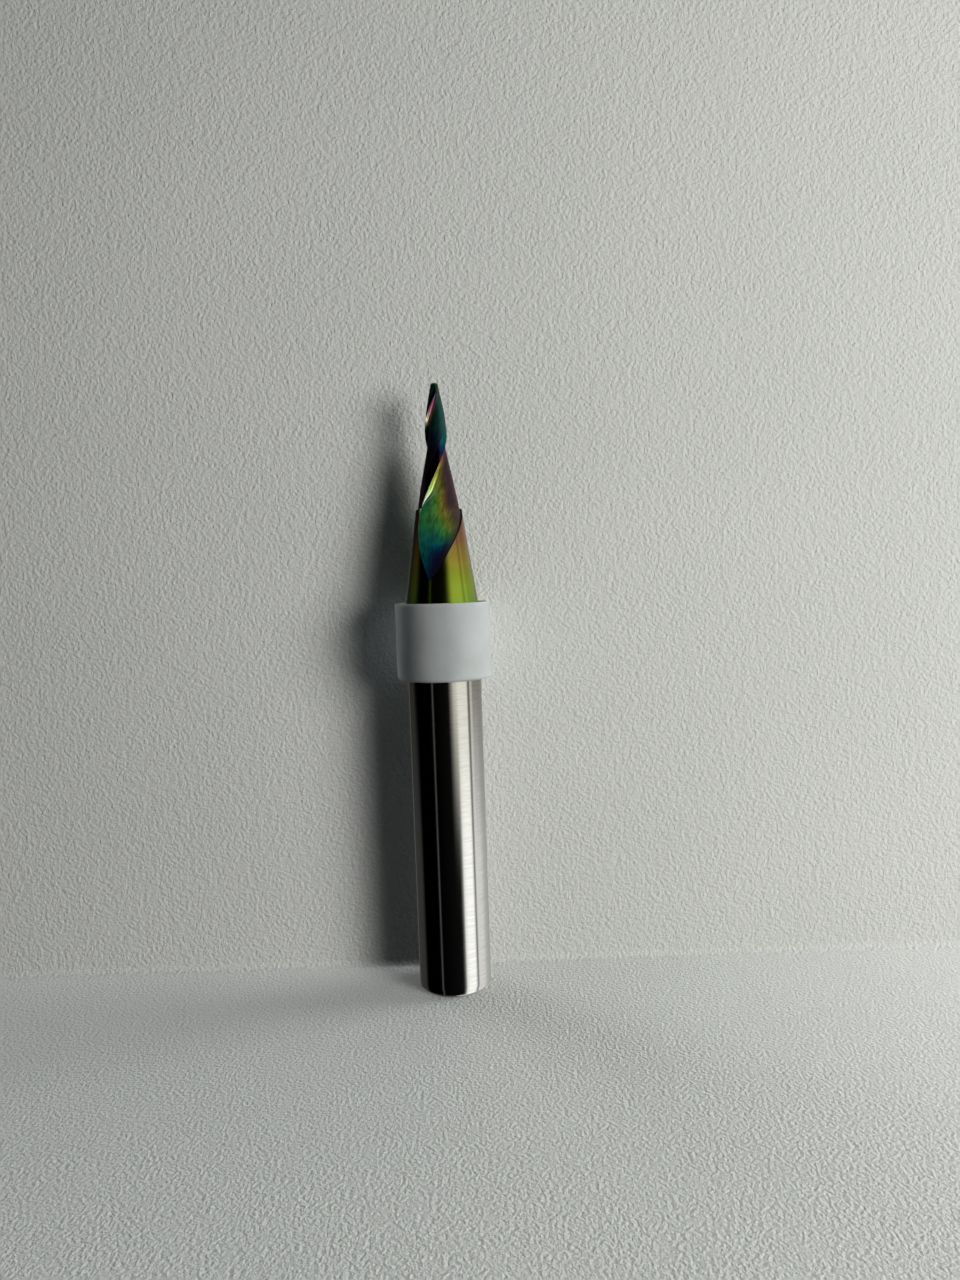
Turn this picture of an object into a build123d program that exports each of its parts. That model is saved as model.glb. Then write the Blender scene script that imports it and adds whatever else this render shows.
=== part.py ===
"""Tapered ball nose end mill with two helical flutes, and the plastic depth ring on its shank.

Lengths are in millimetres and angles in degrees. The origin is the centre of the shank's
end face, and +Z runs along the tool's axis to the ball at its tip.
"""

import os
from math import atan2, cos, degrees, exp, log, radians, sin, sqrt, tan

from build123d import *

os.makedirs("parts", exist_ok=True)

# Carbide rod
overall_length = 50.0
shank_diameter = 6.0
shank_chamfer = 0.3

# Ground nose
ball_radius = 0.5
nose_half_angle = 7.0
cutting_length = 10.2
taper_length = 18.0
shoulder_height = 0.18
shoulder_length = 0.1

# Flute section, with its radii as shares of the nose's radius at each height
flute_count = 2
helix_angle = 25.4
edge_bearing_at_shoulder = 214.0
land_angle = 31.0
heel_relief_angle = 4.0
back_radius_share = 0.78
gullet_radius_share = 0.2
rake_angle = 5.0
heel_overrun_share = 0.12
outside_share = 1.6

# Towards the shoulder the rake face runs out, and the floor beside it comes up to the surface
rake_fade_length = 1.7
rake_fade_share = 0.9
rake_fade_angle = 95.0

# Runout, where the grinding wheel lifts out of the plain cone below the shoulder
runout_length = 5.9
runout_lead_in = 0.5
runout_twist_power = 1.58
runout_width_power = 1.06
runout_depth_power = 1.5
runout_end_share = 0.03
runout_lift = 0.06
runout_lift_power = 8

# Gashes that carry the two cutting edges over the ball to its middle
gash_web = 0.06
gash_floor_angle = 42.0
gash_opening_angle = 75.0
gash_length = 1.1
gash_depth = 1.0
gash_start = 0.2
gash_edge_drop = 0.18

# Depth ring
ring_wall = 0.875
ring_length = 6.25
ring_above_taper = 0.25
ring_corner_radius = 0.35
ring_edge_break = 0.08
ring_lead_in = 0.2

# Sections that the flutes are lofted through
twist_per_section = 36.0
runout_sections = 7
void_above_tip = 0.15
gullet_points = 3
back_points = 4

# Heights and radii that follow from the sizes above
shank_radius = shank_diameter / 2
taper_start = overall_length - taper_length
shoulder_z = overall_length - cutting_length
ball_centre_z = overall_length - ball_radius
runout_start_z = shoulder_z + runout_lead_in
runout_end_z = shoulder_z - runout_length
half_angle = radians(nose_half_angle)
tooth_angle = 360 / flute_count


def nose_radius(z):
    """Radius of the cutting cone at height z, carried on past the ball and the shoulder."""
    return (ball_radius + (ball_centre_z - z) * sin(half_angle)) / cos(half_angle)


def nose_height(radius):
    """Height at which the cutting cone, carried on past the ball, has this radius."""
    return ball_centre_z + (ball_radius - radius * cos(half_angle)) / sin(half_angle)


shoulder_radius = nose_radius(shoulder_z)
cone_top_radius = shoulder_radius + shoulder_height
cone_slope = (shank_radius - cone_top_radius) / (shoulder_z - taper_start)


def body_radius(z):
    """Radius of the plain cone between the shank and the shoulder at height z."""
    return shank_radius - (z - taper_start) * cone_slope


# A helix of one angle winds up a cone as the logarithm of the radius
twist_per_log = degrees(tan(radians(helix_angle)) / tan(half_angle))
start_radius = nose_radius(runout_start_z)
start_twist_rate = degrees(tan(radians(helix_angle)) / start_radius)


def edge_bearing(z):
    """Bearing of the first cutting edge at height z, on the nose."""
    return edge_bearing_at_shoulder + twist_per_log * log(shoulder_radius / nose_radius(z))


def direction(bearing):
    """Unit vector in the XY plane at a bearing in degrees from +X."""
    return Vector(cos(radians(bearing)), sin(radians(bearing)))


def arc_points(centre, start, end, count):
    """Evenly spaced points along the short arc from start to end about centre."""
    radius = (start - centre).length
    first = degrees(atan2(start.Y - centre.Y, start.X - centre.X))
    last = degrees(atan2(end.Y - centre.Y, end.X - centre.X))
    turn = (last - first + 180) % 360 - 180
    return [centre + direction(first + turn * i / (count - 1)) * radius for i in range(count)]


# Section of one flute where the nose's radius is 1 and the cutting edge lies on +X
edge = Vector(1, 0)
rake_inward = direction(180 + rake_angle)
rake_normal = direction(90 + rake_angle)
heel_bearing = tooth_angle - land_angle
heel = direction(heel_bearing)
back_centre = heel - direction(heel_bearing - heel_relief_angle) * back_radius_share

# The gullet's arc touches the rake face and runs on into the back of the next tooth
gullet_track = edge + rake_normal * gullet_radius_share - back_centre
track_shift = gullet_track.dot(rake_inward)
centre_distance = back_radius_share + gullet_radius_share
rake_depth = -track_shift - sqrt(track_shift**2 - gullet_track.length**2 + centre_distance**2)
rake_foot = edge + rake_inward * rake_depth
gullet_centre = rake_foot + rake_normal * gullet_radius_share
back_foot = back_centre + (gullet_centre - back_centre) * (back_radius_share / centre_distance)

# Past the heel the floor runs on straight, so that it leaves the nose before it ends
heel_end = heel + direction(heel_bearing - heel_relief_angle + 90) * heel_overrun_share
flute_floor = arc_points(gullet_centre, rake_foot, back_foot, gullet_points)[:-1]
flute_floor += arc_points(back_centre, back_foot, heel, back_points) + [heel_end]
middle_bearing = heel_bearing / 2
rake_outer_end = edge - rake_inward * (outside_share - 1)
outer_middle = direction(middle_bearing) * outside_share
heel_outer_end = heel_end.normalized() * outside_share


def section_state(z):
    """Turn of the section at height z, its shares of full width and depth, and its lift."""
    if z >= runout_start_z:
        return edge_bearing(z), 1, 1, 0
    left = (z - runout_end_z) / (runout_start_z - runout_end_z)
    power = runout_twist_power + 1
    untwist = start_twist_rate * (runout_start_z - runout_end_z) / power * (1 - left**power)
    width = runout_end_share + (1 - runout_end_share) * left**runout_width_power
    depth = runout_end_share + (1 - runout_end_share) * left**runout_depth_power
    lift = runout_lift * (1 - left) ** runout_lift_power
    return edge_bearing(runout_start_z) - untwist, width, depth, lift


def rake_fade(bearing, z):
    """Share of the floor's depth that is lost at this bearing from the edge, at height z."""
    down = min(max((shoulder_z - z) / rake_fade_length + 1, 0), 1)
    beside = min(max(1 - bearing / rake_fade_angle, 0), 1)
    return rake_fade_share * down**2 * (3 - 2 * down) * beside**2


def placed(point, z):
    """Point of the unit section, carried to height z and drawn in as the wheel lifts out."""
    turn, width, depth, lift = section_state(z)
    bearing = degrees(atan2(point.Y, point.X))
    surface = body_radius(z)
    radius = surface + depth * (point.length * nose_radius(z) - surface) + lift
    if point.length < 1:
        blank = nose_radius(z) if z > shoulder_z else surface
        radius += rake_fade(bearing, z) * (blank - radius)
    return direction(turn + middle_bearing + width * (bearing - middle_bearing)) * radius


# Heights of the sections: even steps up the runout, then even turns up the nose
runout_step = (runout_start_z - runout_end_z) / runout_sections
levels = [runout_end_z + runout_step * i for i in range(runout_sections)]
winding_log = log(start_radius / nose_radius(overall_length + void_above_tip))
turn_count = max(round(twist_per_log * winding_log / twist_per_section), 2)
levels += [
    nose_height(start_radius * exp(-winding_log * i / turn_count)) for i in range(turn_count + 1)
]

# Space that the grinding wheel clears for one flute
with BuildPart() as flute_void:
    for z in levels:
        with BuildSketch(Plane.XY.offset(z)):
            with BuildLine():
                rake_line = Line(placed(rake_outer_end, z), placed(rake_foot, z))
                floor_line = Spline([placed(point, z) for point in flute_floor])
                outer_corners = [placed(heel_outer_end, z), placed(outer_middle, z)]
                Polyline(floor_line @ 1, *outer_corners, rake_line @ 0)
            make_face()
    loft()

# Notch that opens one side of the ball, so that its edge runs to the middle
gash_bearing = edge_bearing(overall_length - gash_edge_drop)
gash_side = direction(gash_bearing + 90)
gash_down = Vector(0, 0, -1) * cos(radians(gash_floor_angle))
gash_along = direction(gash_bearing) * sin(radians(gash_floor_angle)) + gash_down
gash_wall = gash_along.cross(gash_side)
gash_origin = Vector(0, 0, overall_length) + gash_side * (gash_web / 2) - gash_along * gash_start
with BuildPart() as gash_void:
    with BuildSketch(Plane(origin=gash_origin, x_dir=gash_wall, z_dir=gash_along)):
        with BuildLine():
            Polyline(
                (0, 0),
                (gash_depth, 0),
                direction(-gash_opening_angle) * gash_depth,
                close=True,
            )
        make_face()
    extrude(amount=gash_length + gash_start)

# End mill, turned from one rod and then ground
with BuildPart() as end_mill:
    with BuildSketch(Plane.XZ):
        with BuildLine():
            ball_centre = Vector(0, ball_centre_z)
            side = Polyline(
                (0, overall_length),
                (0, 0),
                (shank_radius - shank_chamfer, 0),
                (shank_radius, shank_chamfer),
                (shank_radius, taper_start),
                (cone_top_radius, shoulder_z),
                (nose_radius(shoulder_z + shoulder_length), shoulder_z + shoulder_length),
                ball_centre + direction(nose_half_angle) * ball_radius,
            )
            ball_flank = ball_centre + direction((90 + nose_half_angle) / 2) * ball_radius
            ThreePointArc(side @ 1, ball_flank, side @ 0)
        make_face()
    revolve(axis=Axis.Z)
    with PolarLocations(0, flute_count):
        add(flute_void.part, mode=Mode.SUBTRACT)
        add(gash_void.part, mode=Mode.SUBTRACT)

# Depth ring, pressed on the shank at the foot of the cone
ring_bottom = taper_start + ring_above_taper - ring_length
with BuildPart() as depth_ring:
    with BuildSketch(Plane.XY.offset(ring_bottom)):
        Circle(shank_radius + ring_wall)
        Circle(shank_radius, mode=Mode.SUBTRACT)
    extrude(amount=ring_length)
    ring_ends = depth_ring.edges().filter_by(GeomType.CIRCLE).group_by(Axis.Z)
    lower_rims = ring_ends[0].sort_by(SortBy.RADIUS)
    upper_rims = ring_ends[-1].sort_by(SortBy.RADIUS)
    fillet(lower_rims[-1], radius=ring_corner_radius)
    chamfer(upper_rims[-1], length=ring_edge_break)
    chamfer([lower_rims[0], upper_rims[0]], length=ring_lead_in)

end_mill.part.label = "end_mill"
export_step(end_mill.part, "parts/end_mill.step")
depth_ring.part.label = "depth_ring"
export_step(depth_ring.part, "parts/depth_ring.step")
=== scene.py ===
"""Looks of a tapered ball nose end mill: a coated carbide cutter with a plastic depth ring.

The cutter is meshed from its own grinding law, row by row up the tool and column by column round
it, so its edges are crisp and its faces smooth. Each corner of the mesh carries the thickness of
the coating there, which the material turns into interference colours, and the painted shade and
painted highlight laid over them. Sizes in the classes are in millimetres and degrees, and meshes
are made in metres.
"""

from __future__ import annotations

import logging
import math
from dataclasses import dataclass, field
from enum import Enum

import bpy
import numpy as np
from mathutils import Matrix, Vector

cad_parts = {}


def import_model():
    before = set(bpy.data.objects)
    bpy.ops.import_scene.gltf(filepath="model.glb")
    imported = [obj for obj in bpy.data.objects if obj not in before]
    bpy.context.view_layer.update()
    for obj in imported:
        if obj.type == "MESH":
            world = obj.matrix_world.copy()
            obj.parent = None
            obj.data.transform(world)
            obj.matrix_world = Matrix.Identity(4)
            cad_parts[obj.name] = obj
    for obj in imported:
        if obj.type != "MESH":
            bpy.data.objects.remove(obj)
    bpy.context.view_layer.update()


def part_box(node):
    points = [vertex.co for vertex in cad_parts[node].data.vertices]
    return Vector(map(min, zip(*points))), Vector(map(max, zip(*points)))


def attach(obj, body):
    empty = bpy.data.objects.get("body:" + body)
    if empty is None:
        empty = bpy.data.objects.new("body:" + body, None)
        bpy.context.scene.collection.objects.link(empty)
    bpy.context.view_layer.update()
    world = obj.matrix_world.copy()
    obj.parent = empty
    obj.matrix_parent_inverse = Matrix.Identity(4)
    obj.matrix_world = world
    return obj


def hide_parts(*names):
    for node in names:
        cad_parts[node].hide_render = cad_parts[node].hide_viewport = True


LOG = logging.getLogger("end_mill")
MM = 0.001
Pair = tuple[float, float]
Pairs = tuple[Pair, ...]
Colour = tuple[float, float, float]
ColourStops = tuple[tuple[float, Colour], ...]
Socket = bpy.types.NodeSocket


class Skin(Enum):
    """Which grinding pass left a face of the cutter."""

    BLANK = 0
    FLUTE = 1
    GASH = 2


def lookup(pairs: Pairs, values: np.ndarray) -> np.ndarray:
    """Reads a short list of (place, value) pairs at many places, with smooth steps between them.

    Args:
        pairs: Places in rising order, each with its value.
        values: The places to read.

    Returns:
        The value at each place.
    """
    places = np.array([p for p, _ in pairs])
    levels = np.array([v for _, v in pairs])
    index = np.clip(np.searchsorted(places, values) - 1, 0, len(places) - 2)
    share = np.clip((values - places[index]) / (places[index + 1] - places[index]), 0, 1)
    return levels[index] + (levels[index + 1] - levels[index]) * eased(share)


def eased(share: np.ndarray | float) -> np.ndarray | float:
    """Smooth step of a share that runs from 0 to 1."""
    return share * share * (3 - 2 * share)


def link_mesh(name: str, vertices: list, faces: list) -> bpy.types.Object:
    """Makes a smooth mesh in metres and links it to the scene.

    Args:
        name: The name of the mesh and of its object.
        vertices: The points.
        faces: The faces, as lists of point numbers.

    Returns:
        The object that carries the mesh.
    """
    mesh = bpy.data.meshes.new(name)
    mesh.from_pydata(vertices, [], faces)
    mesh.shade_smooth()
    return link(name, mesh)


def link(name: str, data: bpy.types.ID) -> bpy.types.Object:
    """Makes an object for a mesh, a camera or a lamp, and links it to the scene."""
    piece = bpy.data.objects.new(name, data)
    bpy.context.scene.collection.objects.link(piece)
    return piece


def heading(degrees: np.ndarray | float) -> np.ndarray:
    """Unit vectors in the XY plane at bearings in degrees from +X."""
    turn = np.radians(degrees)
    return np.stack([np.cos(turn), np.sin(turn)], axis=-1)


@dataclass
class FluteSection:
    """Section of one flute where the nose's radius is 1 and the cutting edge lies on +X."""

    land_angle: float = 31.0
    heel_relief_angle: float = 4.0
    back_radius: float = 0.78
    gullet_radius: float = 0.2
    rake_angle: float = 5.0
    heel_overrun: float = 0.12
    outside: float = 1.6
    tooth_angle: float = 180.0

    def __post_init__(self) -> None:
        """Works out the centres and ends of the section's arcs."""
        edge = np.array([1.0, 0.0])
        inward, normal = heading(180 + self.rake_angle), heading(90 + self.rake_angle)
        self.heel_bearing = self.tooth_angle - self.land_angle
        self.heel = heading(self.heel_bearing)
        relief = self.heel_bearing - self.heel_relief_angle
        self.back_centre = self.heel - heading(relief) * self.back_radius
        track = edge + normal * self.gullet_radius - self.back_centre
        shift = track @ inward
        reach = self.back_radius + self.gullet_radius
        self.rake_depth = -shift - math.sqrt(shift**2 - track @ track + reach**2)
        self.rake_foot = edge + inward * self.rake_depth
        self.gullet_centre = self.rake_foot + normal * self.gullet_radius
        share = self.back_radius / reach
        self.back_foot = self.back_centre + (self.gullet_centre - self.back_centre) * share
        self.heel_end = self.heel + heading(relief + 90) * self.heel_overrun
        self.rake_outer = edge - inward * (self.outside - 1)
        self.middle_bearing = self.heel_bearing / 2
        self.edge_place = (self.outside - 1) / (self.outside - 1 + self.rake_depth)

    def _arc(
        self, centre: np.ndarray, start: np.ndarray, end: np.ndarray, share: np.ndarray
    ) -> np.ndarray:
        """Points along the short arc from start to end about centre."""
        radius = np.linalg.norm(start - centre)
        first = math.degrees(math.atan2(*(start - centre)[::-1]))
        last = math.degrees(math.atan2(*(end - centre)[::-1]))
        turn = (last - first + 180) % 360 - 180
        return centre + heading(first + turn * share) * radius

    def points(self, place: np.ndarray) -> np.ndarray:
        """Points of the section by their place along it.

        Args:
            place: From 0 to 1 down the rake face, 1 to 2 round the gullet, 2 to 3 up the back,
                and 3 to 4 out past the heel.

        Returns:
            One XY point for each place.
        """
        round_gullet, up_back = np.clip(place - 1, 0, 1), np.clip(place - 2, 0, 1)
        place = np.asarray(place, float)[:, None]
        rake = self.rake_outer + (self.rake_foot - self.rake_outer) * place
        gullet = self._arc(self.gullet_centre, self.rake_foot, self.back_foot, round_gullet)
        back = self._arc(self.back_centre, self.back_foot, self.heel, up_back)
        overrun = self.heel + (self.heel_end - self.heel) * np.clip((place - 3) * 2, 0, 1)
        beyond = self.heel_end / np.linalg.norm(self.heel_end) * self.outside
        beyond = self.heel_end + (beyond - self.heel_end) * np.clip((place - 3.5) * 2, 0, 1)
        out = np.where(place < 1, rake, gullet)
        out = np.where(place >= 2, back, out)
        out = np.where(place >= 3, overrun, out)
        return np.where(place >= 3.5, beyond, out)


@dataclass
class GrindingLaw:
    """Radii, turns and depths of the ground nose by height, for a tool of a given length."""

    overall_length: float
    shank_radius: float
    section: FluteSection = field(default_factory=FluteSection)
    ball_radius: float = 0.5
    nose_half_angle: float = 7.0
    cutting_length: float = 10.2
    taper_length: float = 18.0
    shoulder_height: float = 0.18
    shoulder_length: float = 0.1
    helix_angle: float = 25.4
    edge_bearing_at_shoulder: float = 214.0
    runout_length: float = 5.9
    runout_lead_in: float = 0.5
    runout_twist_power: float = 1.58
    runout_width_power: float = 1.06
    runout_depth_power: float = 1.5
    runout_end_share: float = 0.03
    runout_lift: float = 0.06
    runout_lift_power: float = 8.0
    rake_fade_length: float = 1.7
    rake_fade_share: float = 0.9
    rake_fade_angle: float = 95.0

    def __post_init__(self) -> None:
        """Works out the heights, radii and rates that follow from the sizes."""
        self.taper_start = self.overall_length - self.taper_length
        self.shoulder_z = self.overall_length - self.cutting_length
        self.ball_centre_z = self.overall_length - self.ball_radius
        self.runout_start_z = self.shoulder_z + self.runout_lead_in
        self.runout_end_z = self.shoulder_z - self.runout_length
        self.half = math.radians(self.nose_half_angle)
        self.shoulder_radius = self.nose_radius(self.shoulder_z)
        self.cone_top_radius = self.shoulder_radius + self.shoulder_height
        cone_length = self.shoulder_z - self.taper_start
        self.cone_slope = (self.shank_radius - self.cone_top_radius) / cone_length
        helix = math.tan(math.radians(self.helix_angle))
        self.twist_per_log = math.degrees(helix / math.tan(self.half))
        self.start_radius = self.nose_radius(self.runout_start_z)
        self.start_rate = math.degrees(helix / self.start_radius)

    def nose_radius(self, z: float) -> float:
        """Radius of the cutting cone at height z, carried on past the ball and the shoulder."""
        widening = (self.ball_centre_z - z) * math.sin(self.half)
        return (self.ball_radius + widening) / math.cos(self.half)

    def nose_height(self, radius: float) -> float:
        """Height at which the cutting cone has this radius."""
        narrowing = self.ball_radius - radius * math.cos(self.half)
        return self.ball_centre_z + narrowing / math.sin(self.half)

    def body_radius(self, z: float) -> float:
        """Radius of the plain cone between the shank and the shoulder at height z."""
        return self.shank_radius - (z - self.taper_start) * self.cone_slope

    def edge_bearing(self, z: float) -> float:
        """Bearing of the first cutting edge at height z, on the nose."""
        lead = math.log(self.shoulder_radius / self.nose_radius(z))
        return self.edge_bearing_at_shoulder + self.twist_per_log * lead

    def state(self, z: float) -> tuple[float, float, float, float]:
        """Turn of the section at height z, its shares of full width and depth, and its lift."""
        if z >= self.runout_start_z:
            return self.edge_bearing(z), 1.0, 1.0, 0.0
        run = self.runout_start_z - self.runout_end_z
        left = max((z - self.runout_end_z) / run, 0.0)
        power = self.runout_twist_power + 1
        untwist = self.start_rate * run / power * (1 - left**power)
        width = self.runout_end_share + (1 - self.runout_end_share) * left**self.runout_width_power
        depth = self.runout_end_share + (1 - self.runout_end_share) * left**self.runout_depth_power
        lift = self.runout_lift * (1 - left) ** self.runout_lift_power
        return self.edge_bearing(self.runout_start_z) - untwist, width, depth, lift

    def rake_fade(self, bearing: np.ndarray, z: float) -> np.ndarray:
        """Share of the floor's depth that is lost at these bearings from the edge, at height z."""
        down = min(max((self.shoulder_z - z) / self.rake_fade_length + 1, 0), 1)
        beside = np.clip(1 - bearing / self.rake_fade_angle, 0, 1)
        return self.rake_fade_share * down**2 * (3 - 2 * down) * beside**2

    def placed(self, xy: np.ndarray, z: float) -> tuple[np.ndarray, np.ndarray]:
        """Carries points of the unit section to height z.

        Args:
            xy: Points of the unit section.
            z: The height.

        Returns:
            Their bearings from the edge in degrees, and their radii.
        """
        _, width, depth, lift = self.state(z)
        bearing = np.degrees(np.arctan2(xy[:, 1], xy[:, 0]))
        length = np.linalg.norm(xy, axis=1)
        surface, nose = self.body_radius(z), self.nose_radius(z)
        radius = surface + depth * (length * nose - surface) + lift
        below = min(max((self.runout_start_z - z) / (2 * self.runout_lead_in), 0), 1)
        blank = nose + (surface - nose) * below
        radius += np.where(length < 1, self.rake_fade(bearing, z) * (blank - radius), 0)
        middle = self.section.middle_bearing
        return middle + width * (bearing - middle), radius

    def floor(self, place: np.ndarray, z: float) -> tuple[np.ndarray, np.ndarray]:
        """Bearing and radius of the flute's floor at height z.

        Args:
            place: Places along the flute's section, as FluteSection.points takes them.
            z: The height.

        Returns:
            The bearings in degrees and the radii, one for each place.
        """
        bearing, radius = self.placed(self.section.points(place), z)
        ends = np.array([self.section.rake_outer, self.section.rake_foot])
        end_bearing, end_radius = self.placed(ends, z)
        outer, foot = heading(end_bearing) * end_radius[:, None]
        line = outer + (foot - outer) * place[:, None]
        on_rake = place < 1
        bearing = np.where(on_rake, np.degrees(np.arctan2(line[:, 1], line[:, 0])), bearing)
        radius = np.where(on_rake, np.linalg.norm(line, axis=1), radius)
        return self.state(z)[0] + bearing, radius


@dataclass
class Coating:
    """Thickness of the coating, as a share of the colour ramp, over each face of the nose."""

    # The tables below also hold the nose's painted shade and painted highlight.
    cone: Pairs = (
        (32.0, 0.80), (34.5, 0.86), (36.3, 0.97), (37.4, 1.06), (39.0, 1.13), (39.8, 1.18),
    )
    land: Pairs = (
        (39.8, 1.22), (42.5, 1.22), (43.8, 1.26), (44.6, 1.46), (45.2, 1.56), (47.4, 1.50),
        (48.6, 1.60), (50.0, 1.62),
    )
    rake: Pairs = (
        (33.9, 0.45), (34.8, 0.48), (35.5, 0.51), (36.2, 0.53), (37.1, 0.56), (37.5, 0.58),
        (38.2, 0.61), (38.9, 0.655), (39.8, 0.64), (40.3, 0.62), (41.1, 0.72), (42.4, 0.84),
        (43.2, 0.93), (44.0, 1.05), (44.7, 1.20), (45.4, 1.35), (46.6, 1.60), (47.2, 1.96),
        (48.1, 2.21), (48.8, 2.56),
    )
    front: Pairs = (
        (33.9, 0.42), (34.8, 0.44), (35.5, 0.47), (36.2, 0.50), (36.7, 0.52), (37.1, 0.55),
        (37.5, 0.58), (38.2, 0.63), (38.9, 0.67), (39.6, 0.73), (40.3, 0.80), (41.1, 0.88),
        (41.8, 0.98), (42.5, 1.10), (43.2, 1.20), (44.4, 1.28), (45.4, 1.40), (46.4, 1.54),
        (49.5, 1.58),
    )
    back: Pairs = (
        (34.8, 0.37), (35.5, 0.39), (36.2, 0.42), (36.7, 0.48), (37.1, 0.55), (37.5, 0.60),
        (38.2, 0.70), (38.9, 0.81), (39.6, 0.97), (40.3, 1.10), (41.1, 1.20), (42.5, 1.25),
        (44.5, 1.30), (45.4, 1.40), (46.4, 1.54), (49.5, 1.58),
    )
    heel: Pairs = (
        (35.5, 0.36), (36.2, 0.39), (36.7, 0.46), (37.1, 0.58), (37.5, 0.76), (37.9, 0.90),
        (38.4, 1.02), (38.9, 1.12), (39.6, 1.20), (41.0, 1.25), (44.5, 1.36), (45.3, 1.48),
        (46.8, 1.56), (49.5, 1.58),
    )
    stops: tuple[float, ...] = (0.08, 0.35, 0.60, 1.0)
    # Strength of the painted highlight along the cutting edges, by height.
    pale: Pairs = (
        (39.7, 0.0), (40.0, 0.95), (41.0, 0.88), (41.9, 0.65), (42.9, 0.18), (43.6, 0.05),
        (46.4, 0.05), (47.0, 0.85), (47.8, 0.60), (48.4, 0.40), (49.3, 0.0),
    )
    # Painted shade in the flutes by height, where 1 is none.
    flute_shade_by_height: Pairs = (
        (33.9, 0.32), (35.6, 0.46), (37.0, 0.80), (41.0, 0.85), (42.9, 0.70), (44.0, 0.30),
        (45.0, 0.15), (49.0, 0.16), (49.6, 0.10),
    )
    # Painted shade on a flute's side turned from the light: its start, width and darkest level.
    shade_start: Pairs = (
        (33.9, 0.60), (35.6, 0.55), (38.0, 0.58), (39.2, 0.42), (40.5, 0.22), (42.9, -0.08),
        (44.2, 0.1), (45.2, 1.0), (50.0, 1.0),
    )
    shade_width: float = 0.36
    shade_tone: float = 0.12
    # Painted shade on the cone and the lands by height, where 1 is none.
    blank_shade_by_height: Pairs = (
        (33.2, 1.0), (35.6, 0.70), (38.0, 0.58), (39.7, 0.55), (43.0, 0.60), (44.4, 0.38),
        (48.8, 0.42), (49.5, 0.15),
    )
    # Painted shade on the heel wall at the end of a flute, from wall_start to wall_full.
    heel_wall_shade: float = 0.06
    wall_start: float = 3.0
    wall_full: float = 3.1
    # Reach, opening and sharpness of the painted highlight on the rake face.
    highlight_reach: float = 2.12
    highlight_start: float = 39.4
    highlight_full: float = 40.9
    highlight_least: float = 0.02
    highlight_sharpness: float = 4.0

    def on_blank(self, z: np.ndarray, shoulder_z: float) -> np.ndarray:
        """Coating on what was turned: the plain cone, and the lands above the shoulder."""
        return np.where(z < shoulder_z, lookup(self.cone, z), lookup(self.land, z))

    def in_flute(self, z: np.ndarray, across: np.ndarray) -> np.ndarray:
        """Coating in a flute, where across runs from 0 at the cutting edge to 1 at the heel."""
        lines = [lookup(pairs, z) for pairs in (self.rake, self.front, self.back, self.heel)]
        out = lines[0]
        for i in range(3):
            share = np.clip((across - self.stops[i]) / (self.stops[i + 1] - self.stops[i]), 0, 1)
            out = out + (lines[i + 1] - lines[i]) * share
        return out

    def painted_shade_in_flute(self, z: np.ndarray, across: np.ndarray, place: np.ndarray) -> np.ndarray:
        """Painted shade in a flute: by height, away from the light, and on the heel wall."""
        turned = np.clip((across - lookup(self.shade_start, z)) / self.shade_width, 0, 1)
        wall = np.interp(place, [self.wall_start, self.wall_full], [1.0, self.heel_wall_shade])
        shade = 1 - (1 - self.shade_tone) * eased(turned)
        return lookup(self.flute_shade_by_height, z) * wall * shade

    def painted_highlight(self, z: np.ndarray, place: np.ndarray, edge_place: float) -> np.ndarray:
        """Share of the painted highlight on the rake face, which narrows towards the shoulder."""
        opened = (z - self.highlight_start) / (self.highlight_full - self.highlight_start)
        opened = np.clip(opened, self.highlight_least, 1)
        reach = (place - edge_place) / ((self.highlight_reach - edge_place) * opened)
        return lookup(self.pale, z) * np.clip((1 - reach) * self.highlight_sharpness, 0, 1)


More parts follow.
